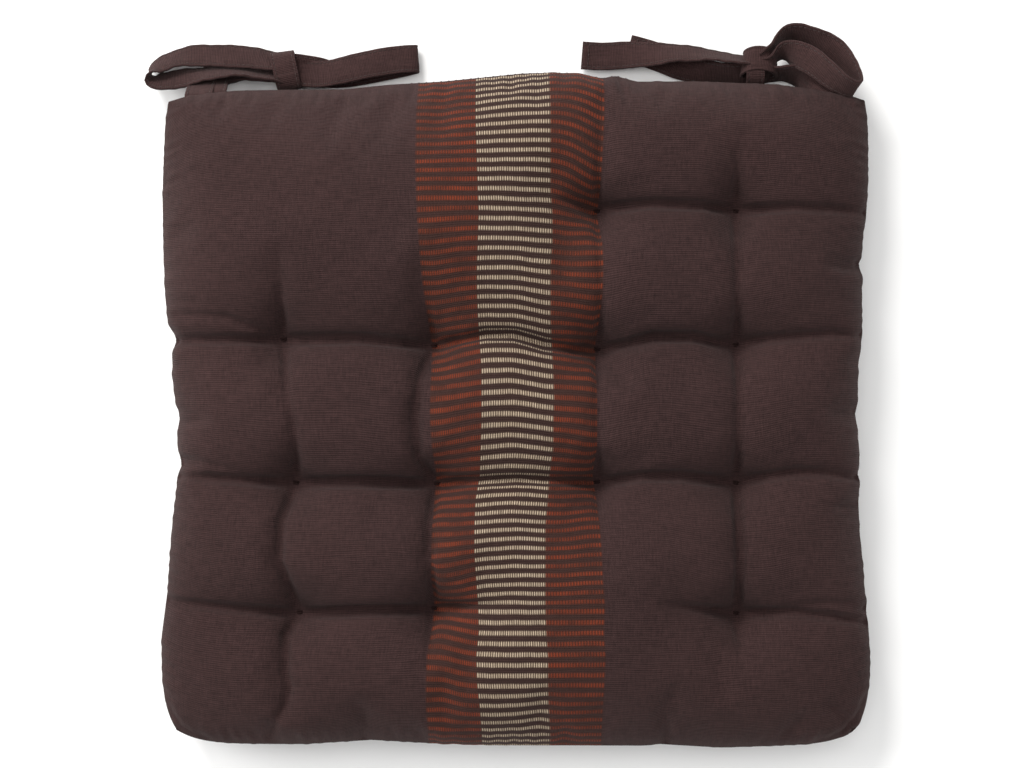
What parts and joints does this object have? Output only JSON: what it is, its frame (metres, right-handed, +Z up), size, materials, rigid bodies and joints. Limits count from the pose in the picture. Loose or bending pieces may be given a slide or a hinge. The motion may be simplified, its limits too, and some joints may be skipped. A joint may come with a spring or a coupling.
{
  "type": "chair seat pad",
  "caption": "Square tufted fabric seat pad with a woven centre stripe and fabric tapes tied in bows at both back corners.",
  "frame": {"origin": "on the surface the pad lies on, under the middle of the pad's seam outline", "axes": "+Z up out of the striped top face, +Y to the back edge with the ties, +X to the right as seen from the front"},
  "size_m": [0.4081, 0.4082, 0.064],
  "materials": {
    "striped_weave": "dark brown plain weave with fine crosswise ribs, a cream band between two rust bands of dashes down the middle",
    "brown_weave": "dark brown plain weave with fine crosswise ribs",
    "brown_tape": "the same dark brown weave, folded and topstitched into flat tape",
    "dark_thread": "dull dark brown sewing thread",
    "white_fibre": "matt white polyester fibre, closed inside the cover"
  },
  "bodies": {
    "pad": {"top_panel": "striped_weave", "bottom_panel": "brown_weave", "fibre_filling": "white_fibre", "perimeter_seam_thread": "dark_thread", "closing_seam_thread": "dark_thread", "tuft_thread_01": "dark_thread", "tuft_thread_02": "dark_thread", "tuft_thread_03": "dark_thread", "tuft_thread_04": "dark_thread", "tuft_thread_05": "dark_thread", "tuft_thread_06": "dark_thread", "tuft_thread_07": "dark_thread", "tuft_thread_08": "dark_thread", "tuft_thread_09": "dark_thread", "tuft_thread_10": "dark_thread", "tuft_thread_11": "dark_thread", "tuft_thread_12": "dark_thread", "tuft_thread_13": "dark_thread", "left_tie_root": "brown_tape", "right_tie_root": "brown_tape"},
    "left_tie": {"left_tie_tape_a": "brown_tape", "left_tie_tape_b": "brown_tape", "left_tie_knot": "brown_tape", "left_tie_loop": "brown_tape", "left_tie_stitching": "dark_thread"},
    "right_tie": {"right_tie_tape_a": "brown_tape", "right_tie_tape_b": "brown_tape", "right_tie_knot": "brown_tape", "right_tie_loop": "brown_tape", "right_tie_stitching": "dark_thread"}
  },
  "joints": [
    {"name": "left_tie_fold", "type": "hinge", "parent": "pad", "child": "left_tie", "pos_m": [-0.176, 0.18539, 0.028], "axis": [1, 0, 0], "range_deg": [-15, 110]},
    {"name": "right_tie_fold", "type": "hinge", "parent": "pad", "child": "right_tie", "pos_m": [0.18, 0.18525, 0.028], "axis": [1, 0, 0], "range_deg": [-15, 110]}
  ]
}
